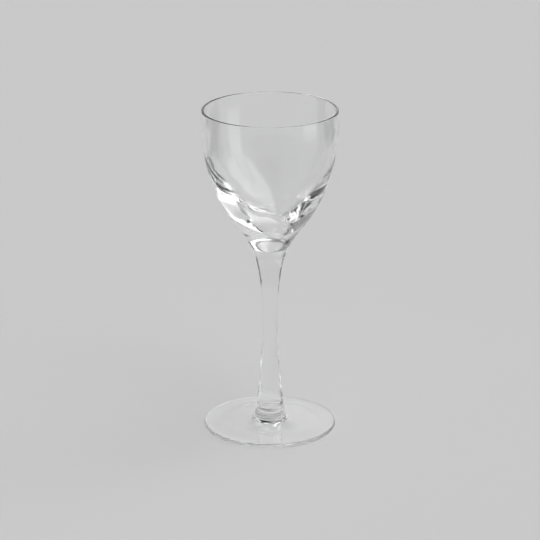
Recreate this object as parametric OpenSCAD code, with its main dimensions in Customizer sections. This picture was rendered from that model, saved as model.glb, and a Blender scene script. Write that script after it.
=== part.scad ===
// Stemmed cordial glass: a bowl with a ridged inside, a drawn solid stem and a flat foot with a hub.
// Millimetres, +Z up, origin at the centre of the foot's underside.
// The three pieces are separate gathers of glass, fused face to face on the glass's own axis.

/* [Bowl] */
// Height of the bowl, from its joint with the stem to the rim
bowl_h = 64; // [50:1:90]
// Widest outer diameter of the bowl
bowl_d = 61.4; // [52:0.2:80]
// Outer diameter of the rim, which draws in a little
rim_d = 60.7; // [50:0.1:78]
// Thickness of the wall at the rim and all the way down the upper bowl
wall = 1.1; // [0.8:0.1:1.6]
// Thickness of the solid glass under the bowl's inside
floor_h = 8.8; // [5:0.2:12]
// Height over which the inside rounds out from its lowest point to the thin wall
belly_h = 32; // [20:1:38]
// How far the lowest point of the inside lies off the axis, to the right
lowest_x = 2.5; // [-3:0.1:3]
// How far it lies off the axis, to the back
lowest_y = -1.8; // [-3:0.1:3]
// Radius of the outer edge of the rim
rim_edge_r = 0.45; // [0.2:0.05:0.7]

/* [Ridges inside the bowl] */
// Number of soft upright ridges around the inside
ridge_count = 4; // [3:1:9]
// How far an average ridge stands in from the hollows beside it
ridge_depth = 1; // [0.4:0.1:1.6]
// Distance from the rim down to where the ridges begin
ridge_start = 20; // [6:1:24]
// Height over which the ridges swell to their full depth
ridge_swell_h = 10; // [8:1:24]
// Turn of the first ridge from +X, in degrees
ridge_turn = 81; // [0:1:90]
// Sideways swing of the ridges as they come down, in degrees
ridge_swing = -2; // [-20:1:20]
// Height of one full swing
swing_h = 37; // [20:1:60]
// How narrow the ridges are beside the hollows between them, as a power
ridge_sharpness = 2.4; // [1:0.1:3]
// Share of its depth by which a ridge on the strong side stands out more, and one opposite less
uneven_share = 0.9; // [0:0.05:0.95]
// Turn of the strong side from +X, in degrees
strong_turn = 153; // [0:1:360]

/* [Stem] */
// Length of the stem between its two joints
stem_h = 76.6; // [50:0.2:110]
// Diameter of the stem at its narrowest
waist_d = 7; // [5:0.1:9]
// Height of the narrowest place above the joint with the foot
waist_rise = 38; // [28:1:46]
// Diameter of the joint with the bowl
bowl_joint_d = 16.6; // [12:0.2:19]
// Diameter of the joint with the foot
foot_joint_d = 12.6; // [10:0.2:14]

/* [Foot] */
// Diameter of the foot
foot_d = 60.2; // [46:0.2:80]
// Thickness of the foot at its edge
foot_edge_h = 1.8; // [1.4:0.1:3]
// Height of the foot's upper face beside the hub
foot_crown_h = 3.1; // [2.8:0.1:4]
// Height of the hub, up to its joint with the stem
hub_h = 9.4; // [7:0.2:14]
// Diameter of the hub where it meets the foot's upper face
hub_d = 14.4; // [13.4:0.2:18]
// Radius of the hollow curve between the hub and the foot's upper face
hub_fillet_r = 1.8; // [0.6:0.1:2.4]
// Width of the flat ring that the glass stands on
stand_ring_w = 5; // [3:0.5:9]
// Depth of the hollow under the foot, at its centre
under_hollow = 1; // [0.3:0.1:1.4]

/* [Hidden] */
$fn = 96;
// Past the rim, for the cut that opens the bowl
overrun = 2;
// Radius of the rounded outer edge of the foot
foot_edge_r = foot_edge_h / 2;
// Height of the joint between stem and bowl
bowl_z = hub_h + stem_h;
// Height of the lowest point of the bowl's inside above the bowl's joint, and the depth above it
cavity_z = floor_h;
cavity_h = bowl_h - cavity_z;
// The bowl's outer outline between joint and rim: shares of its height and of its growth in radius
bowl_outline_shares = [
    [0, 0], [0.035, 0.065], [0.12, 0.212], [0.2, 0.4], [0.27, 0.535],
    [0.35, 0.655], [0.53, 0.848], [0.73, 0.968], [0.9, 1]
];
// Powers that bend the two flares of the stem
lower_flare_power = 1.65;
upper_flare_power = 2.9;
// Steps along curves, around the inside and down the inside
curve_steps = 6;
flare_steps = 20;
round_steps = 8;
around_steps = 80;
down_steps = 36;
// Share by which the inside's rings crowd toward its lowest point, as a power
crowd_power = 1.7;
// Power that sets how squarely the inside rounds out
belly_power = 0.52;

// A value eased from 0 to 1 as t runs from 0 to 1
function eased(t) = let (c = min(1, max(0, t))) c * c * (3 - 2 * c);

// A point on the smooth curve through b and c, between neighbours a and d
function spline_point(a, b, c, d, t) =
    let (in_slope = (c - a) / 2, out_slope = (d - b) / 2)
    b * (1 - 3 * t * t + 2 * t * t * t) + c * (3 * t * t - 2 * t * t * t)
    + in_slope * (t - 2 * t * t + t * t * t) + out_slope * (t * t * t - t * t);

// The smooth curve through all of the points
function spline(points, steps) = let (last = len(points) - 1) [
    for (i = [0 : last - 1], k = [0 : steps - 1])
        spline_point(points[max(i - 1, 0)], points[i], points[i + 1], points[min(i + 2, last)], k / steps),
    points[last]
];

// Points on an arc, in degrees, from one angle to another
function arc(centre, radius, from, to) = [
    for (k = [0 : round_steps])
        let (angle = from + (to - from) * k / round_steps)
        centre + radius * [cos(angle), sin(angle)]
];

// The bowl's outer outline, from its joint up to the start of the rounded rim edge
bowl_joint_r = bowl_joint_d / 2;
bowl_growth = bowl_d / 2 - bowl_joint_r;
bowl_knots = [
    for (s = bowl_outline_shares) [bowl_joint_r + bowl_growth * s[1], bowl_h * s[0]],
    [rim_d / 2, bowl_h - rim_edge_r]
];
bowl_outline = spline(bowl_knots, curve_steps);
outline_heights = [for (p = bowl_outline) [p[1], p[0]]];

// Outer radius of the bowl at a height above its joint
function outer_r(h) = lookup(min(h, bowl_h - rim_edge_r), outline_heights);

// Share of the rounded bottom that still lies above a height, from 1 at the inside's lowest point to 0
function bottom_share(rise) = 1 - min(1, rise / belly_h);

// Share of its full width that the inside has at a height above its lowest point
function round_share(rise) = pow(1 - pow(bottom_share(rise), 2), belly_power);

// Radius of the inside in a hollow between ridges, at a height above its lowest point
function hollow_r(rise) = (outer_r(cavity_z + rise) - wall) * round_share(rise);

// Depth of an average ridge at a height, fading out below the rim and at the bottom
function ridge_r(rise) =
    ridge_depth * eased((cavity_h - ridge_start - rise) / ridge_swell_h) * round_share(rise);

// Share of the average ridge's depth at a height and an angle around the axis
function wave_share(rise, angle) =
    let (turn = ridge_turn + ridge_swing * sin(360 * rise / swing_h))
    pow((1 + cos(ridge_count * (angle - turn))) / 2, ridge_sharpness)
    * (1 + uneven_share * cos(angle - strong_turn));

// A point of the inside, which leans off the axis towards its lowest point
function inside_point(rise, angle) =
    let (r = hollow_r(rise) - ridge_r(rise) * wave_share(rise, angle))
    r * [cos(angle), sin(angle)] + pow(bottom_share(rise), 2) * [lowest_x, lowest_y];

// The inside of the bowl as one closed shape, open past the rim
module bowl_inside() {
    rises = [for (k = [1 : down_steps]) cavity_h * pow(k / down_steps, crowd_power)];
    angles = [for (k = [0 : around_steps - 1]) 360 * k / around_steps];
    side = [for (rise = rises, angle = angles) concat(inside_point(rise, angle), cavity_z + rise)];
    top = [for (angle = angles) concat(inside_point(cavity_h, angle), bowl_h + overrun)];
    lowest = [[lowest_x, lowest_y, cavity_z]];
    points = concat(side, top, lowest);
    first_top = len(side);
    pole = len(points) - 1;
    walls = [
        for (ring = [0 : down_steps - 1], k = [0 : around_steps - 1])
            let (a = ring * around_steps + k, b = ring * around_steps + (k + 1) % around_steps)
            each [[a, a + around_steps, b], [b, a + around_steps, b + around_steps]]
    ];
    bottom = [for (k = [0 : around_steps - 1]) [pole, k, (k + 1) % around_steps]];
    lid = [[for (k = [0 : around_steps - 1]) first_top + around_steps - 1 - k]];
    polyhedron(points, concat(walls, bottom, lid));
}

// Solid of the bowl before its inside is cut, on its own joint
module bowl_body() {
    rim_edge = arc([rim_d / 2 - rim_edge_r, bowl_h - rim_edge_r], rim_edge_r, 0, 90);
    rotate_extrude()
        polygon(concat([[0, 0]], bowl_outline, rim_edge, [[0, bowl_h]]));
}

module bowl() {
    color([0.80, 0.88, 0.90, 0.45])
        translate([0, 0, bowl_z])
            difference() {
                bowl_body();
                bowl_inside();
            }
}

// Radius of the stem at a share of the way from its waist to a joint
function flare_r(joint_d, share, power) = (waist_d + (joint_d - waist_d) * pow(share, power)) / 2;

module stem() {
    upper_h = stem_h - waist_rise;
    lower = [
        for (k = [flare_steps : -1 : 1])
            let (share = k / flare_steps)
            [flare_r(foot_joint_d, share, lower_flare_power), waist_rise * (1 - share)]
    ];
    upper = [
        for (k = [0 : flare_steps])
            let (share = k / flare_steps)
            [flare_r(bowl_joint_d, share, upper_flare_power), waist_rise + upper_h * share]
    ];
    color([0.72, 0.84, 0.82, 0.6])
        translate([0, 0, hub_h])
            rotate_extrude()
                polygon(concat([[0, 0]], lower, upper, [[0, stem_h]]));
}

// Outline of the foot: up from the axis of the hollow underside, around the edge and up the hub
function foot_outline() =
    let (
        foot_r = foot_d / 2,
        stand_out = foot_r - foot_edge_r,
        stand_in = stand_out - stand_ring_w,
        edge = arc([stand_out, foot_edge_r], foot_edge_r, -90, 90),
        fillet_out = hub_d / 2 + hub_fillet_r,
        fillet = arc([fillet_out, foot_crown_h + hub_fillet_r], hub_fillet_r, 270, 190),
        hollow = [
            for (k = [0 : round_steps - 1])
                let (share = k / round_steps)
                [stand_in * share, under_hollow * (1 - share * share)]
        ],
        crown = [
            for (k = [1 : round_steps - 1])
                let (share = k / round_steps)
                [stand_out + (fillet_out - stand_out) * share,
                    foot_edge_h + (foot_crown_h - foot_edge_h) * share * share]
        ]
    )
    concat(hollow, [[stand_in, 0]], edge, crown, fillet, [[foot_joint_d / 2, hub_h], [0, hub_h]]);

module foot() {
    color([0.76, 0.86, 0.86, 0.5])
        rotate_extrude()
            polygon(foot_outline());
}

bowl();
stem();
foot();
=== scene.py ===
"""Stemmed cordial glass: the looks of its bowl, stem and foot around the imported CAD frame.

Every length is in metres. The glass stands on the floor at the origin, with its axis along +Z.
"""

import logging
import math
from dataclasses import dataclass
from enum import Enum
from typing import Iterable, Sequence

import bmesh
import bpy
from mathutils import Matrix, Vector


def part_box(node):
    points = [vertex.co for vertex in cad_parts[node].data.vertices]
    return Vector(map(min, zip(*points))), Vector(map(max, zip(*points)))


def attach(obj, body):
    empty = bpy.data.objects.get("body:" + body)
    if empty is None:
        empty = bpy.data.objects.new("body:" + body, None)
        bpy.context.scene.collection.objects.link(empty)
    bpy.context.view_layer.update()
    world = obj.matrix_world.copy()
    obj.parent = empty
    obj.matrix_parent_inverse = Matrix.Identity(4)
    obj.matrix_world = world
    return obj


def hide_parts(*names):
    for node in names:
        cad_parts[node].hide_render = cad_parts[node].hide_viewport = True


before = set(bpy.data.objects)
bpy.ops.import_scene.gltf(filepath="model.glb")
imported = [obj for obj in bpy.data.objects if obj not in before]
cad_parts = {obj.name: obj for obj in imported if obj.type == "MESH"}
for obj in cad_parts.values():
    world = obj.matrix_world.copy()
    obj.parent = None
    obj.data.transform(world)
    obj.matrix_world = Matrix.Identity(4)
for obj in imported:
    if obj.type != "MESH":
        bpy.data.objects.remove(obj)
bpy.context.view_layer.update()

MM = 0.001
log = logging.getLogger("cordial_glass")

Point = tuple[float, float]


class Skin(Enum):
    """Which surface of the glass a stretch of an outline makes."""

    OUTER = 0
    FUSED = 1
    INNER = 2


class Value:
    """One socket of a node tree, so that sums on sockets are written as Python expressions."""

    def __init__(self, tree: "Tree", socket: bpy.types.NodeSocket) -> None:
        """Wraps a socket.

        Args:
            tree: The tree that new nodes go into.
            socket: The output socket that holds the value.
        """
        self.tree = tree
        self.socket = socket

    def _maths(self, operation: str, *values: "Value | float") -> "Value":
        """Adds one Math node.

        Args:
            operation: The Math node's operation.
            *values: What goes into its sockets, in order.

        Returns:
            The node's result.
        """
        return self.tree.add("ShaderNodeMath", {"operation": operation}, dict(enumerate(values)))

    def __add__(self, other: "Value | float") -> "Value":
        """Adds."""
        return self._maths("ADD", self, other)

    def __radd__(self, other: float) -> "Value":
        """Adds, with the number first."""
        return self._maths("ADD", other, self)

    def __sub__(self, other: "Value | float") -> "Value":
        """Subtracts."""
        return self._maths("SUBTRACT", self, other)

    def __rsub__(self, other: float) -> "Value":
        """Subtracts, with the number first."""
        return self._maths("SUBTRACT", other, self)

    def __mul__(self, other: "Value | float") -> "Value":
        """Multiplies."""
        return self._maths("MULTIPLY", self, other)

    def __rmul__(self, other: float) -> "Value":
        """Multiplies, with the number first."""
        return self._maths("MULTIPLY", other, self)

    def __truediv__(self, other: "Value | float") -> "Value":
        """Divides."""
        return self._maths("DIVIDE", self, other)

    def __pow__(self, other: "Value | float") -> "Value":
        """Raises to a power."""
        return self._maths("POWER", self, other)

    def sine(self) -> "Value":
        """Sine of an angle in radians."""
        return self._maths("SINE", self)

    def cosine(self) -> "Value":
        """Cosine of an angle in radians."""
        return self._maths("COSINE", self)

    def at_least(self, least: float) -> "Value":
        """The value, or a least value where it is lower."""
        return self._maths("MAXIMUM", self, least)

    def clamped(self) -> "Value":
        """The value held between 0 and 1."""
        return self._maths("MINIMUM", self.at_least(0.0), 1.0)

    def eased(self) -> "Value":
        """The value held between 0 and 1, with a soft start and end."""
        held = self.clamped()
        return held * held * (3.0 - 2.0 * held)


class Tree:
    """A node tree that is filled by one method."""

    def __init__(self, nodes: bpy.types.NodeTree) -> None:
        """Empties a tree and keeps it.

        Args:
            nodes: The tree to fill.
        """
        self.nodes = nodes
        nodes.nodes.clear()

    def add(
        self,
        node_type: str,
        settings: dict[str, object] | None = None,
        inputs: "dict[str | int, Value | float | Sequence[float]] | None" = None,
        output: str | int = 0,
    ) -> Value:
        """Adds one node.

        Args:
            node_type: The node's type.
            settings: Its own settings, which are set before its sockets.
            inputs: What its sockets hold or are linked to, by name or place.
            output: The output that the result stands for.

        Returns:
            The chosen output.
        """
        node = self.nodes.nodes.new(node_type)
        for name, setting in (settings or {}).items():
            setattr(node, name, setting)
        for name, value in (inputs or {}).items():
            if isinstance(value, Value):
                self.nodes.links.new(value.socket, node.inputs[name])
            else:
                node.inputs[name].default_value = value
        has_output = len(node.outputs) > 0
        return Value(self, node.outputs[output] if has_output else None)

    def of(self, value: Value, output: str) -> Value:
        """Another output of the node that a value comes from."""
        return Value(self, value.socket.node.outputs[output])


@dataclass(frozen=True)
class ClearCrystal:
    """Clear polished glass, with the faint unevenness of hand work on its surface.

    Attributes:
        name: Name of the material.
        tint: What each surface lets through, very slightly blue-green.
        ior: How strongly the glass bends light.
        ripple_width: Width of the soft unevenness of the surface.
        ripple_height: Height of that unevenness.
        ripple_detail: How many finer waves lie on it.
        ripple_fineness: How strong each of these is beside the wider one.
        smooth_h: Height up to which the glass is pressed and has none. It is full at twice this height.
        shadow: What light from outside gets through one surface of the glass to the floor.
    """

    name: str
    tint: tuple[float, float, float, float] = (0.989, 0.992, 0.992, 1.0)
    ior: float = 1.52
    ripple_width: float = 6 * MM
    ripple_height: float = 0.018 * MM
    ripple_detail: float = 2.0
    ripple_fineness: float = 0.4
    smooth_h: float = 9.4 * MM
    shadow: tuple[float, float, float, float] = (0.96, 0.96, 0.96, 1.0)

    def build(self) -> bpy.types.Material:
        """Builds the material."""
        material = bpy.data.materials.new(self.name)
        material.use_nodes = True
        tree = Tree(material.node_tree)
        place = tree.add("ShaderNodeTexCoord", output="Object")
        ripple = tree.add(
            "ShaderNodeTexNoise",
            {"noise_dimensions": "3D"},
            {
                "Vector": place,
                "Scale": 1 / self.ripple_width,
                "Detail": self.ripple_detail,
                "Roughness": self.ripple_fineness,
            },
        )
        up = tree.of(tree.add("ShaderNodeSeparateXYZ", inputs={0: place}), "Z")
        uneven = ripple * (up / self.smooth_h - 1.0).eased()
        bump = tree.add(
            "ShaderNodeBump",
            inputs={"Strength": 1.0, "Distance": self.ripple_height, "Height": uneven},
        )
        solid = tree.add(
            "ShaderNodeBsdfPrincipled",
            inputs={
                "Base Color": self.tint,
                "Metallic": 0.0,
                "Roughness": 0.0,
                "IOR": self.ior,
                "Transmission Weight": 1.0,
                "Normal": bump,
            },
        )
        passed = tree.add("ShaderNodeBsdfTransparent", inputs={"Color": self.shadow})
        rays = tree.add("ShaderNodeLightPath", output="Is Shadow Ray")
        surface = tree.add("ShaderNodeMixShader", inputs={0: rays, 1: solid, 2: passed})
        tree.add("ShaderNodeOutputMaterial", inputs={"Surface": surface})
        return material


@dataclass(frozen=True)
class FusedFace:
    """The face where two gathers are melted together, which can't be seen.

    Attributes:
        name: Name of the material.
    """

    name: str = "fused_face"

    def build(self) -> bpy.types.Material:
        """Builds the material."""
        material = bpy.data.materials.new(self.name)
        material.use_nodes = True
        tree = Tree(material.node_tree)
        surface = tree.add("ShaderNodeBsdfTransparent")
        tree.add("ShaderNodeOutputMaterial", inputs={"Surface": surface})
        return material


@dataclass
class Outline:
    """The half section of a round piece, from the axis around to the axis, in radius and height."""

    points: list[Point]
    skins: list[Skin]

    @classmethod
    def start(cls, point: Point) -> "Outline":
        """An outline that starts at one point on the axis."""
        return cls([point], [])

    def go(self, points: Iterable[Point], skin: Skin) -> "Outline":
        """Adds points, and gives the stretch up to each one its skin.

        Args:
            points: The points, in order.
            skin: The surface that the stretch belongs to.

        Returns:
            The outline itself.
        """
        for point in points:
            self.points.append(point)
            self.skins.append(skin)
        return self

    def turned(self, name: str, around: int, sheets: Sequence[bpy.types.Material]) -> bpy.types.Object:
        """Turns the outline around the axis into a closed mesh.

        Args:
            name: Name of the object.
            around: Number of faces around.
            sheets: The materials of the outer glass and of the fused faces.

        Returns:
            The object, at the origin.
        """
        mesh = bmesh.new()
        inside = mesh.verts.layers.float.new("inside")
        rings: list[list[bmesh.types.BMVert]] = []
        for index, (radius, height) in enumerate(self.points):
            pole = index in (0, len(self.points) - 1)
            count = 1 if pole else around
            ring = []
            for step in range(count):
                angle = math.tau * step / around
                ring.append(mesh.verts.new((radius * math.cos(angle), radius * math.sin(angle), height)))
            rings.append(ring)
        for index, skin in enumerate(self.skins):
            low, high = rings[index], rings[index + 1]
            if skin is Skin.INNER:
                for vert in low + high:
                    vert[inside] = 1.0
            for step in range(around):
                after = (step + 1) % around
                below = [low[k % len(low)] for k in (step, after)]
                above = [high[k % len(high)] for k in (after, step)]
                face = mesh.faces.new(dict.fromkeys(below + above))
                face.smooth = True
                face.material_index = 1 if skin is Skin.FUSED else 0
        for index in range(1, len(self.skins)):
            before, after_skin = self.skins[index - 1], self.skins[index]
            if (before is Skin.FUSED) != (after_skin is Skin.FUSED):
                for step, vert in enumerate(rings[index]):
                    edge = mesh.edges.get((vert, rings[index][(step + 1) % around]))
                    edge.smooth = False
        bmesh.ops.recalc_face_normals(mesh, faces=mesh.faces)
        data = bpy.data.meshes.new(name)
        mesh.to_mesh(data)
        mesh.free()
        for sheet in sheets:
            data.materials.append(sheet)
        piece = bpy.data.objects.new(name, data)
        bpy.context.collection.objects.link(piece)
        return piece


def arc(centre: Point, radius: float, start: float, end: float, steps: int) -> list[Point]:
    """Points on an arc.

    Args:
        centre: Radius and height of its centre.
        radius: Its own radius.
        start: Angle where it starts, in degrees from straight out.
        end: Angle where it ends, in degrees.
        steps: Number of stretches.

    Returns:
        The points, both ends included.
    """
    angles = [math.radians(start + (end - start) * k / steps) for k in range(steps + 1)]
    return [(centre[0] + radius * math.cos(a), centre[1] + radius * math.sin(a)) for a in angles]


def spline(knots: Sequence[Point], steps: int) -> list[Point]:
    """A smooth curve through all of the knots.

    Args:
        knots: The points to go through.
        steps: Number of stretches between two knots.

    Returns:
        The points of the curve, both ends included.
    """
    last = len(knots) - 1
    points: list[Point] = []
    for i in range(last):
        a, b, c, d = (Vector(knots[j]) for j in (max(i - 1, 0), i, i + 1, min(i + 2, last)))
        for k in range(steps):
            t = k / steps
            cubic = b * (1 - 3 * t**2 + 2 * t**3) + c * (3 * t**2 - 2 * t**3)
            slopes = (c - a) / 2 * (t - 2 * t**2 + t**3) + (d - b) / 2 * (t**3 - t**2)
            points.append(tuple(cubic + slopes))
    points.append(tuple(knots[last]))
    return points


def relaxed(points: Sequence[Point], rounds: int) -> list[Point]:
    """The same curve with its small changes of bend evened out, and its ends kept.

    Args:
        points: The points of the curve.
        rounds: How often each point is drawn towards its neighbours.

    Returns:
        The points in their new places.
    """
    kept = [Vector(p) for p in points]
    for _ in range(rounds):
        kept = [kept[0]] + [
            kept[i] * 0.5 + (kept[i - 1] + kept[i + 1]) * 0.25 for i in range(1, len(kept) - 1)
        ] + [kept[-1]]
    return [tuple(p) for p in kept]


def seam_dent(height: float, seam: float, depth: float, reach: float) -> float:
    """How far the skin draws in at a height beside a fused seam.

    Args:
        height: The height asked for.
        seam: Height of the seam.
        depth: How far the skin draws in at the seam itself.
        reach: Distance from the seam at which the skin is plain again.

    Returns:
        The distance towards the axis.
    """
    rest = max(0.0, 1.0 - abs(height - seam) / reach)
    return depth * rest * rest


def at_height(points: Sequence[Point], height: float) -> float:
    """Radius of a rising curve at a height.

    Args:
        points: The curve's points in radius and height, from low to high.
        height: The height asked for.

    Returns:
        The radius there.
    """
    if height <= points[0][1]:
        return points[0][0]
    for (r0, z0), (r1, z1) in zip(points, points[1:]):
        if height <= z1:
            return r0 + (r1 - r0) * (height - z0) / max(z1 - z0, 1e-12)
    return points[-1][0]


@dataclass
class Bowl:
    """The blown bowl: round outside, ridged inside, thick at its bottom.

    Attributes:
        crystal: Material of the glass.
        fused: Material of the face that is melted to the stem.
        name: Name of the object.
        joint_r: Radius of the joint with the stem.
        rim_r: Radius of the rim.
        wall: Thickness of the wall.
        rim_edge_h: Height of the rounded edge of the rim.
        floor_h: Thickness of the solid bottom.
        belly_h: Height over which the inside rounds out to the thin wall.
        outline_shares: The outside's knots, in shares of its height and of its growth in radius.
        ridge_count: Number of ridges around the inside.
        ridge_depth: Depth of an average ridge.
        ridge_start: Distance from the rim down to where the ridges begin.
        ridge_swell_h: Height over which they swell to their full depth.
        ridge_turn: Turn of the first ridge from +X, in degrees.
        ridge_swing: How far the ridges swing sideways as they come down, in degrees.
        swing_h: Height of one full swing.
        unevenness: Share by which a ridge on the strong side is deeper, and one opposite shallower.
        strong_side: Turn of the strong side from +X, in degrees.
        aside: How far the inside's lowest point lies off the axis, to the right and to the back.
        belly_power: How squarely the inside rounds out.
        ridge_sharpness: How narrow the ridges are beside the hollows.
        seam: Distance of the fused face from the middle of the joint.
        first_step: Distance from the fused face to the next ring above it.
        knot_steps: Rings between two knots of the outside.
        smoothing: Rounds of evening out the outside's bend.
        rim_steps: Rings around the rim's edge.
        crowding: How closely the inside's rings crowd towards its lowest point.
        around: Faces around the bowl.
        down: Rings down the inside.
    """

    crystal: bpy.types.Material
    fused: bpy.types.Material
    name: str = "bowl_glass"
    joint_r: float = 8.3 * MM
    rim_r: float = 30.35 * MM
    wall: float = 1.1 * MM
    rim_edge_h: float = 0.3 * MM
    floor_h: float = 8.8 * MM
    belly_h: float = 32 * MM
    outline_shares: tuple[Point, ...] = (
        (0.0, 0.0), (0.035, 0.065), (0.12, 0.212), (0.2, 0.4), (0.27, 0.535),
        (0.35, 0.655), (0.53, 0.848), (0.73, 0.968), (0.9, 1.0),
    )
    ridge_count: int = 4
    ridge_depth: float = 1.0 * MM
    ridge_start: float = 20 * MM
    ridge_swell_h: float = 10 * MM
    ridge_turn: float = 81.0
    ridge_swing: float = -2.0
    swing_h: float = 37 * MM
    unevenness: float = 0.9
    strong_side: float = 153.0
    aside: Point = (2.5 * MM, -1.8 * MM)
    belly_power: float = 0.52
    ridge_sharpness: float = 2.4
    seam: float = 0.01 * MM
    first_step: float = 0.1 * MM
    knot_steps: int = 14
    smoothing: int = 40
    rim_steps: int = 16
    crowding: float = 2.4
    around: int = 240
    down: int = 130

    def __post_init__(self) -> None:
        """Takes the bowl's place and overall size from its CAD node."""
        low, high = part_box("bowl")
        self.base_z: float = low[2]
        self.rim_z: float = high[2]
        self.height: float = high[2] - low[2]
        self.wide_r: float = (high[0] - low[0]) / 2
        self.cavity_z: float = self.base_z + self.floor_h
        self.outer: list[Point] = self._outer()

    def _outer(self) -> list[Point]:
        """The outside, from the joint up to where the rim's edge starts to round."""
        growth = self.wide_r - self.joint_r
        knots = [
            (self.joint_r + growth * out, self.base_z + self.height * up)
            for up, out in self.outline_shares
        ]
        knots.append((self.rim_r, self.rim_z - self.rim_edge_h))
        return relaxed(spline(knots, self.knot_steps), self.smoothing)

    def _hollow(self, height: float) -> float:
        """Radius of the inside in a hollow between ridges, at a height."""
        rest = 1 - min(1.0, (height - self.cavity_z) / self.belly_h)
        return (at_height(self.outer, height) - self.wall) * (1 - rest * rest) ** self.belly_power

    def _outline(self) -> Outline:
        """The bowl's half section before it has ridges."""
        seat = self.base_z + self.seam
        outline = Outline.start((0.0, seat))
        outline.go([(self.joint_r, seat)], Skin.FUSED)
        outline.go([p for p in self.outer if p[1] > seat + self.first_step], Skin.OUTER)
        half_wall = self.wall / 2
        edge_r, edge_z = self.rim_r - half_wall, self.rim_z - self.rim_edge_h
        half_round = arc((0.0, 0.0), 1.0, 0, 180, self.rim_steps)[1:]
        outline.go(
            [(edge_r + x * half_wall, self.rim_z - self.rim_edge_h * (1 - z)) for x, z in half_round],
            Skin.OUTER,
        )
        depth = edge_z - self.cavity_z
        shares = [(1 - k / self.down) ** self.crowding for k in range(1, self.down)]
        heights = [self.cavity_z + depth * share for share in shares]
        outline.go([(self._hollow(z), z) for z in heights], Skin.INNER)
        outline.go([(0.0, self.cavity_z)], Skin.INNER)
        return outline

    def _ridge_sizes(self) -> dict[str, float]:
        """Sizes of the ridges, by the names of their inputs."""
        return {
            "Ridges": float(self.ridge_count),
            "Depth": self.ridge_depth,
            "Turn": math.radians(self.ridge_turn),
            "Swing": math.radians(self.ridge_swing),
            "Swing height": self.swing_h,
            "Lowest point": self.cavity_z,
            "Belly height": self.belly_h,
            "Top": self.rim_z - self.ridge_start,
            "Swell height": self.ridge_swell_h,
            "Unevenness": self.unevenness,
            "Strong side": math.radians(self.strong_side),
            "Aside X": self.aside[0],
            "Aside Y": self.aside[1],
            "Roundness": self.belly_power,
            "Sharpness": self.ridge_sharpness,
        }

    def _ridge_tree(self) -> bpy.types.NodeTree:
        """The rule that raises the ridges on the inside."""
        nodes = bpy.data.node_groups.new("bowl_ridges", "GeometryNodeTree")
        nodes.interface.new_socket("Geometry", in_out="INPUT", socket_type="NodeSocketGeometry")
        for name in self._ridge_sizes():
            nodes.interface.new_socket(name, in_out="INPUT", socket_type="NodeSocketFloat")
        nodes.interface.new_socket("Glass", in_out="INPUT", socket_type="NodeSocketMaterial")
        nodes.interface.new_socket("Geometry", in_out="OUTPUT", socket_type="NodeSocketGeometry")
        tree = Tree(nodes)
        start = tree.add("NodeGroupInput")
        size = {name: tree.of(start, name) for name in self._ridge_sizes()}
        place = tree.add("ShaderNodeSeparateXYZ", inputs={0: tree.add("GeometryNodeInputPosition")})
        x, y, z = (tree.of(place, axis) for axis in "XYZ")
        angle = tree.add("ShaderNodeMath", {"operation": "ARCTAN2"}, {0: y, 1: x})
        rise = z - size["Lowest point"]
        rest = 1.0 - (rise / size["Belly height"]).clamped()
        round_share = (1.0 - rest * rest) ** size["Roundness"]
        swell = ((size["Top"] - z) / size["Swell height"]).eased()
        turn = size["Turn"] + size["Swing"] * (math.tau * rise / size["Swing height"]).sine()
        wave = ((1.0 + (size["Ridges"] * (angle - turn)).cosine()) / 2.0) ** size["Sharpness"]
        strength = 1.0 + size["Unevenness"] * (angle - size["Strong side"]).cosine()
        inside = tree.add("GeometryNodeInputNamedAttribute", {"data_type": "FLOAT"}, {"Name": "inside"})
        raised = inside * size["Depth"] * swell * round_share * wave * strength
        radius = tree.add("ShaderNodeMath", {"operation": "SQRT"}, {0: x * x + y * y + 1e-12})
        inward = tree.add("ShaderNodeCombineXYZ", inputs={"X": 0.0 - x / radius, "Y": 0.0 - y / radius})
        shift = tree.add("ShaderNodeVectorMath", {"operation": "SCALE"}, {0: inward, "Scale": raised})
        lean = inside * rest * rest
        aside = tree.add(
            "ShaderNodeCombineXYZ", inputs={"X": lean * size["Aside X"], "Y": lean * size["Aside Y"]}
        )
        offset = tree.add("ShaderNodeVectorMath", {"operation": "ADD"}, {0: shift, 1: aside})
        moved = tree.add("GeometryNodeSetPosition", inputs={"Geometry": start, "Offset": offset})
        joined = tree.add("GeometryNodeRealizeInstances", inputs={0: moved})
        fused = tree.add("GeometryNodeInputMaterialIndex")
        is_glass = tree.add(
            "FunctionNodeCompare", {"data_type": "INT", "operation": "EQUAL"}, {2: fused, 3: 0}
        )
        dressed = tree.add(
            "GeometryNodeSetMaterial",
            inputs={"Geometry": joined, "Selection": is_glass, "Material": tree.of(start, "Glass")},
        )
        tree.add("NodeGroupOutput", inputs={0: dressed})
        return nodes

    def build(self) -> bpy.types.Object:
        """Builds the bowl and lets it stand for its CAD node."""
        plain = self._outline().turned("bowl_turned", self.around, (self.crystal, self.fused))
        ridged = plain.modifiers.new("ridges", "NODES")
        ridged.node_group = self._ridge_tree()
        values = {**self._ridge_sizes(), "Glass": self.crystal}
        for item in ridged.node_group.interface.items_tree:
            if item.in_out == "INPUT" and item.name in values:
                ridged[item.identifier] = values[item.name]
        graph = bpy.context.evaluated_depsgraph_get()
        data = bpy.data.meshes.new_from_object(plain.evaluated_get(graph), depsgraph=graph)
        data.name = self.name
        piece = bpy.data.objects.new(self.name, data)
        bpy.context.collection.objects.link(piece)
        bpy.data.objects.remove(plain)
        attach(piece, "root")
        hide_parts("bowl")
        return piece


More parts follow.
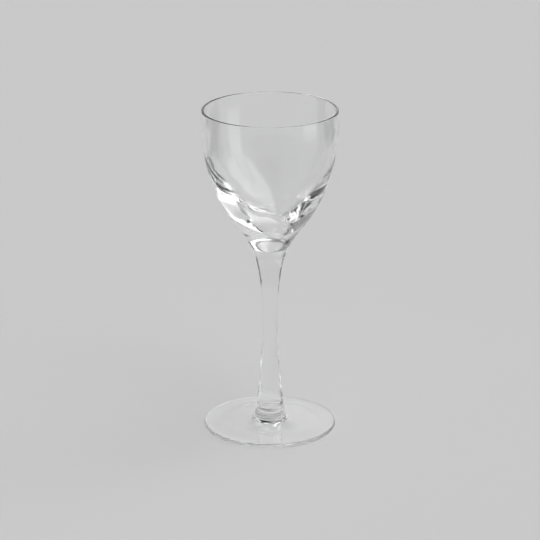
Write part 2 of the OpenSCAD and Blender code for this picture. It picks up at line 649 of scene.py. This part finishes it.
@dataclass
class Stem:
    """The drawn stem: solid, with a narrow waist and a flare at both ends.

    Attributes:
        crystal: Material of the glass.
        fused: Material of the faces that are melted to the foot and to the bowl.
        name: Name of the object.
        waist_r: Radius at the narrowest place.
        waist_rise: Height of that place above the joint with the foot.
        foot_joint_r: Radius of the joint with the foot.
        bowl_joint_r: Radius of the joint with the bowl.
        dent: How far the skin draws in at the seam with the foot.
        dent_reach: Height over which it does.
        lower_power: Bend of the flare towards the foot.
        upper_power: Bend of the flare towards the bowl.
        seam: Distance of a fused face from the middle of its joint.
        around: Faces around the stem.
        steps: Rings above the dent.
        dent_steps: Rings along the dent.
    """

    crystal: bpy.types.Material
    fused: bpy.types.Material
    name: str = "stem_glass"
    waist_r: float = 3.5 * MM
    waist_rise: float = 38 * MM
    foot_joint_r: float = 6.3 * MM
    bowl_joint_r: float = 8.3 * MM
    dent: float = 0.55 * MM
    dent_reach: float = 0.95 * MM
    lower_power: float = 1.65
    upper_power: float = 2.9
    seam: float = 0.01 * MM
    around: int = 144
    steps: int = 90
    dent_steps: int = 8

    def __post_init__(self) -> None:
        """Takes the stem's place from its CAD node."""
        low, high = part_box("stem")
        self.low_z: float = low[2]
        self.high_z: float = high[2]
        self.waist_z: float = low[2] + self.waist_rise

    def _radius(self, height: float) -> float:
        """Radius of the stem at a height."""
        if height < self.waist_z:
            share = (self.waist_z - height) / (self.waist_z - self.low_z)
            plain = self.waist_r + (self.foot_joint_r - self.waist_r) * share**self.lower_power
            return plain - seam_dent(height, self.low_z, self.dent, self.dent_reach)
        share = (height - self.waist_z) / (self.high_z - self.waist_z)
        return self.waist_r + (self.bowl_joint_r - self.waist_r) * share**self.upper_power

    def build(self) -> bpy.types.Object:
        """Builds the stem and lets it stand for its CAD node."""
        low, high = self.low_z + self.seam, self.high_z - self.seam
        heights = [low + self.dent_reach * k / self.dent_steps for k in range(self.dent_steps)]
        start = low + self.dent_reach
        heights += [start + (high - start) * k / self.steps for k in range(self.steps + 1)]
        outline = Outline.start((0.0, low))
        outline.go([(self._radius(low), low)], Skin.FUSED)
        outline.go([(self._radius(z), z) for z in heights[1:]], Skin.OUTER)
        outline.go([(0.0, high)], Skin.FUSED)
        piece = outline.turned(self.name, self.around, (self.crystal, self.fused))
        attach(piece, "root")
        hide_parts("stem")
        return piece


@dataclass
class Foot:
    """The pressed foot: a thin disc with a rounded edge, a hub on top and a hollow below.

    Attributes:
        crystal: Material of the glass.
        fused: Material of the face that is melted to the stem.
        name: Name of the object.
        edge_h: Thickness of the disc at its edge.
        crown_h: Height of its upper face beside the hub.
        hub_r: Radius of the hub where it meets the upper face.
        joint_r: Radius of the joint with the stem.
        fillet_r: Radius of the hollow curve around the hub's base.
        fillet_end: Angle at which that curve runs into the hub's side, in degrees from straight out.
        dent: How far the hub's side draws in at the seam with the stem.
        dent_reach: Height over which it does.
        stand_ring_w: Width of the flat ring that the glass stands on.
        under_hollow: Depth of the hollow under the middle.
        seam: Distance of the fused face from the middle of the joint.
        face_steps: Rings across the upper face and across the hollow.
        edge_steps: Rings around the edge.
        fillet_steps: Rings along the hollow curve.
        side_steps: Rings up the hub's side below the dent.
        dent_steps: Rings along the dent.
        around: Faces around the foot.
    """

    crystal: bpy.types.Material
    fused: bpy.types.Material
    name: str = "foot_glass"
    edge_h: float = 1.8 * MM
    crown_h: float = 3.1 * MM
    hub_r: float = 7.2 * MM
    joint_r: float = 6.3 * MM
    fillet_r: float = 1.8 * MM
    fillet_end: float = 190.0
    dent: float = 0.55 * MM
    dent_reach: float = 0.95 * MM
    stand_ring_w: float = 5 * MM
    under_hollow: float = 1.0 * MM
    seam: float = 0.01 * MM
    face_steps: int = 24
    edge_steps: int = 20
    fillet_steps: int = 12
    side_steps: int = 4
    dent_steps: int = 8
    around: int = 600

    def __post_init__(self) -> None:
        """Takes the foot's place and overall size from its CAD node."""
        low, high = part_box("foot")
        self.top_z: float = high[2]
        self.foot_r: float = (high[0] - low[0]) / 2

    def build(self) -> bpy.types.Object:
        """Builds the foot and lets it stand for its CAD node."""
        edge_r = self.edge_h / 2
        stand_out = self.foot_r - edge_r
        stand_in = stand_out - self.stand_ring_w
        fillet_out = self.hub_r + self.fillet_r
        shares = [k / self.face_steps for k in range(1, self.face_steps)]
        hollow = [(stand_in * s, self.under_hollow * (1 - s * s)) for s in shares]
        crown = [
            (stand_out + (fillet_out - stand_out) * s, self.edge_h + (self.crown_h - self.edge_h) * s * s)
            for s in shares
        ]
        fillet_centre = (fillet_out, self.crown_h + self.fillet_r)
        fillet = arc(fillet_centre, self.fillet_r, 270, self.fillet_end, self.fillet_steps)
        top = self.top_z - self.seam
        start_r, start_z = fillet[-1]
        plain_to = (top - self.dent_reach - start_z) / (top - start_z)
        climbs = [plain_to * k / self.side_steps for k in range(1, self.side_steps)]
        climbs += [plain_to + (1 - plain_to) * k / self.dent_steps for k in range(self.dent_steps + 1)]
        side = [
            (
                start_r + (self.joint_r - start_r) * s
                - seam_dent(start_z + (top - start_z) * s, top, self.dent, self.dent_reach),
                start_z + (top - start_z) * s,
            )
            for s in climbs
        ]
        outline = Outline.start((0.0, self.under_hollow))
        outline.go(hollow, Skin.OUTER)
        outline.go([(stand_in, 0.0)], Skin.OUTER)
        outline.go(arc((stand_out, edge_r), edge_r, -90, 90, self.edge_steps), Skin.OUTER)
        outline.go(crown, Skin.OUTER)
        outline.go(fillet, Skin.OUTER)
        outline.go(side, Skin.OUTER)
        outline.go([(0.0, top)], Skin.FUSED)
        piece = outline.turned(self.name, self.around, (self.crystal, self.fused))
        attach(piece, "root")
        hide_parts("foot")
        return piece


@dataclass(frozen=True)
class SoftBox:
    """One soft patch of the room that is paler than the rest, or darker where its light is negative.

    Attributes:
        turn: Direction of its middle around the glass, in degrees from +X.
        rise: Height of its middle over the horizon, in degrees.
        core: Half width of its even middle, in degrees.
        edge: Half width at which it has faded out, in degrees.
        light: How much light it adds.
    """

    turn: float
    rise: float
    core: float
    edge: float
    light: float

    def glow(self, tree: Tree, away: Value) -> Value:
        """Light of the patch in a direction.

        Args:
            tree: The room's node tree.
            away: The direction that is looked in.

        Returns:
            The light that comes from there.
        """
        turn, rise = math.radians(self.turn), math.radians(self.rise)
        middle = (math.cos(rise) * math.cos(turn), math.cos(rise) * math.sin(turn), math.sin(rise))
        nearness = tree.add(
            "ShaderNodeVectorMath", {"operation": "DOT_PRODUCT"}, {0: away, 1: middle}, output="Value"
        )
        edge, core = math.cos(math.radians(self.edge)), math.cos(math.radians(self.core))
        return ((nearness - edge) / (core - edge)).eased() * self.light


@dataclass(frozen=True)
class Card:
    """One flat glowing card beside the glass, out of the picture, that only the glass sees: it makes a
    painted pale or dark reflection in the glass.

    Attributes:
        name: Name of the card.
        middle: Place of its middle.
        width: Its size across.
        height: Its size up, or away from the glass where it lies down.
        turn: Direction from the glass to the card, in degrees from +X.
        tilt: How far it leans back from upright, in degrees, 90 where it lies face up.
        light: How bright it glows in that painted reflection.
        fade: How far in from its sides it fades out, from nearly 0 to 1.
    """

    name: str
    middle: tuple[float, float, float]
    width: float
    height: float
    turn: float
    tilt: float
    light: float
    fade: float

    def build(self) -> bpy.types.Object:
        """Builds the card."""
        material = bpy.data.materials.new(self.name)
        material.use_nodes = True
        tree = Tree(material.node_tree)
        spread = tree.add("ShaderNodeUVMap", {"uv_map": "UVMap"})
        across = tree.add("ShaderNodeSeparateXYZ", inputs={0: spread})
        up = tree.of(across, "Y")
        sides = (across * (1.0 - across) * 4.0 / self.fade).eased()
        ends = (up * (1.0 - up) * 4.0 / self.fade).eased()
        clear = tree.add("ShaderNodeBsdfTransparent")
        glow = tree.add("ShaderNodeEmission", inputs={"Strength": self.light})
        surface = tree.add("ShaderNodeMixShader", inputs={0: sides * ends, 1: clear, 2: glow})
        tree.add("ShaderNodeOutputMaterial", inputs={"Surface": surface})
        mesh = bmesh.new()
        mesh.loops.layers.uv.new("UVMap")
        bmesh.ops.create_grid(mesh, x_segments=1, y_segments=1, size=0.5, calc_uvs=True)
        placed = (
            Matrix.Translation(self.middle)
            @ Matrix.Rotation(math.radians(self.turn - 90), 4, "Z")
            @ Matrix.Rotation(math.radians(90 - self.tilt), 4, "X")
            @ Matrix.Diagonal((self.width, self.height, 1.0, 1.0))
        )
        bmesh.ops.transform(mesh, matrix=placed, verts=mesh.verts)
        data = bpy.data.meshes.new(self.name)
        mesh.to_mesh(data)
        mesh.free()
        data.materials.append(material)
        card = bpy.data.objects.new(self.name, data)
        bpy.context.collection.objects.link(card)
        # Hidden from the camera, from diffuse rays and from shadow rays, so that it shows only as a
        # painted reflection in the glass.
        card.visible_camera = False
        card.visible_diffuse = False
        card.visible_shadow = False
        return card


@dataclass
class Studio:
    """The plain pale floor, the soft light and the camera.

    Attributes:
        floor_size: Length and width of the floor.
        floor_drop: How far it lies under the foot, so that the two faces don't touch.
        floor_colour: Its colour.
        floor_roughness: Its roughness.
        floor_shine: How much it mirrors.
        bounces: How often light may be bent or mirrored on its way.
        horizon: Brightness of the background and of the skyline all round.
        skyline: Upper edge of the skyline, as the sine of its height over the horizon.
        skyline_edge: How softly it ends, on the same scale.
        dim: Brightness of the room where it is dim.
        pale: Brightness of the room where it is pale.
        lean_right: Share of the direction to the right in which the room grows paler.
        lean_back: Share of the direction to the back in which it does.
        lean_start: Place along that direction where it starts to grow paler.
        lean_width: Length over which it does.
        pale_top: Upper edge of the pale side, as the sine of its height over the horizon.
        pale_edge: How softly it ends, on the same scale.
        room_colour: Colour of the light.
        soft_boxes: The soft patches of the room, paler or darker than the rest.
        cards: The glowing cards beside the glass, which make painted dark and pale reflections in it.
        distance: How far the camera stands in front of the glass.
        eye_height: Its height.
        look_down: How far it looks down, in degrees.
        lens: Its focal length, in millimetres.
        sensor: The width of its sensor, in millimetres.
        far_end: The farthest that it sees.
    """

    floor_size: float = 10.0
    floor_drop: float = 0.05 * MM
    floor_colour: tuple[float, float, float, float] = (0.60, 0.60, 0.60, 1.0)
    floor_roughness: float = 0.9
    floor_shine: float = 0.1
    bounces: int = 32
    horizon: float = 0.58
    skyline: float = 0.09
    skyline_edge: float = 0.05
    dim: float = 0.26
    pale: float = 0.62
    lean_right: float = 0.45
    lean_back: float = 0.89
    lean_start: float = 0.05
    lean_width: float = 0.55
    pale_top: float = 0.54
    pale_edge: float = 0.08
    room_colour: tuple[float, float, float, float] = (1.0, 1.0, 1.0, 1.0)
    soft_boxes: tuple[SoftBox, ...] = (
        SoftBox(turn=-15, rise=15, core=12, edge=50, light=0.35),
        SoftBox(turn=-5, rise=54, core=24, edge=44, light=2.74),
        SoftBox(turn=58, rise=50, core=8, edge=26, light=-0.9),
        SoftBox(turn=-112, rise=16, core=32, edge=52, light=-0.26),
    )
    cards: tuple[Card, ...] = (
        # Dim cards that only the glass sees: painted dark reflections in the glass.
        Card("dark_reflection_floor_left", (-0.69, 0.12, 0.001), 0.18, 0.9, turn=180, tilt=90, light=0.1, fade=0.3),
        Card("dark_reflection_floor_right", (0.7, 0.24, 0.001), 0.26, 0.8, turn=0, tilt=90, light=0.15, fade=0.3),
        Card("dark_reflection_wall_left", (-0.45, 0.25, 0.08), 0.42, 0.2, turn=180, tilt=0, light=0.06, fade=0.8),
        Card("dark_reflection_wall_right", (0.45, 0.25, 0.08), 0.42, 0.2, turn=0, tilt=0, light=0.06, fade=0.8),
        # A bright card that only the glass sees: a painted highlight in the glass.
        Card("pale_reflection_card_right", (0.42, -0.16, 0.4), 0.27, 0.9, turn=-21, tilt=0, light=2.0, fade=0.8),
    )
    distance: float = 1.040
    eye_height: float = 0.4365
    look_down: float = 19.18
    lens: float = 162.46
    sensor: float = 36.0
    far_end: float = 20.0

    def floor(self) -> bpy.types.Object:
        """The floor, which runs out of sight behind the glass."""
        mesh = bmesh.new()
        bmesh.ops.create_grid(mesh, x_segments=2, y_segments=2, size=self.floor_size / 2)
        bmesh.ops.translate(mesh, verts=mesh.verts, vec=(0.0, 0.0, -self.floor_drop))
        data = bpy.data.meshes.new("floor")
        mesh.to_mesh(data)
        mesh.free()
        floor = bpy.data.objects.new("floor", data)
        bpy.context.collection.objects.link(floor)
        paper = bpy.data.materials.new("pale_floor")
        paper.use_nodes = True
        tree = Tree(paper.node_tree)
        surface = tree.add(
            "ShaderNodeBsdfPrincipled",
            inputs={
                "Base Color": self.floor_colour,
                "Roughness": self.floor_roughness,
                "Specular IOR Level": self.floor_shine,
            },
        )
        tree.add("ShaderNodeOutputMaterial", inputs={"Surface": surface})
        data.materials.append(paper)
        return floor

    def surroundings(self) -> None:
        """A room with a pale skyline, pale behind the glass and dim on the camera's side."""
        world = bpy.data.worlds.new("room")
        world.use_nodes = True
        bpy.context.scene.world = world
        tree = Tree(world.node_tree)
        away = tree.add("ShaderNodeTexCoord", output="Generated")
        side = tree.add("ShaderNodeSeparateXYZ", inputs={0: away})
        lean = tree.of(side, "X") * self.lean_right + tree.of(side, "Y") * self.lean_back
        share = ((lean - self.lean_start) / self.lean_width).eased()
        below = ((self.pale_top - tree.of(side, "Z")) / self.pale_edge).eased()
        light = self.dim + (self.pale - self.dim) * share * below
        for box in self.soft_boxes:
            light = light + box.glow(tree, away)
        light = light.at_least(0.0)
        low = ((self.skyline - tree.of(side, "Z")) / self.skyline_edge).eased()
        seen = tree.add("ShaderNodeLightPath", output="Is Camera Ray")
        plain = 1.0 - (1.0 - seen) * (1.0 - low)
        shown = plain * self.horizon + (1.0 - plain) * light
        glow = tree.add("ShaderNodeBackground", inputs={"Color": self.room_colour, "Strength": shown})
        tree.add("ShaderNodeOutputWorld", inputs={"Surface": glow})

    def camera(self) -> None:
        """The camera, where the photograph was taken from."""
        data = bpy.data.cameras.new("view")
        data.sensor_width = self.sensor
        data.lens = self.lens
        data.clip_end = self.far_end
        camera = bpy.data.objects.new("view", data)
        camera.location = (0.0, -self.distance, self.eye_height)
        camera.rotation_euler = (math.radians(90 - self.look_down), 0.0, 0.0)
        bpy.context.collection.objects.link(camera)
        bpy.context.scene.camera = camera
        bpy.context.scene.view_settings.view_transform = "Standard"

    def light_paths(self) -> None:
        """Lets light be mirrored often enough inside the thick glass to find its way out."""
        cycles = bpy.context.scene.cycles
        cycles.max_bounces = self.bounces
        cycles.glossy_bounces = self.bounces
        cycles.transmission_bounces = self.bounces
        cycles.transparent_max_bounces = self.bounces

    def build(self) -> None:
        """Builds the whole studio."""
        self.floor()
        for card in self.cards:
            card.build()
        self.surroundings()
        self.camera()
        self.light_paths()


def main() -> None:
    """Builds the glass and its studio."""
    logging.basicConfig(level=logging.INFO, format="%(message)s")
    crystal = ClearCrystal("clear_crystal").build()
    fused = FusedFace().build()
    for maker in (Bowl(crystal, fused), Stem(crystal, fused), Foot(crystal, fused)):
        piece = maker.build()
        log.info("%s: %d faces", piece.name, len(piece.data.polygons))
    Studio().build()


if __name__ == "__main__":
    main()
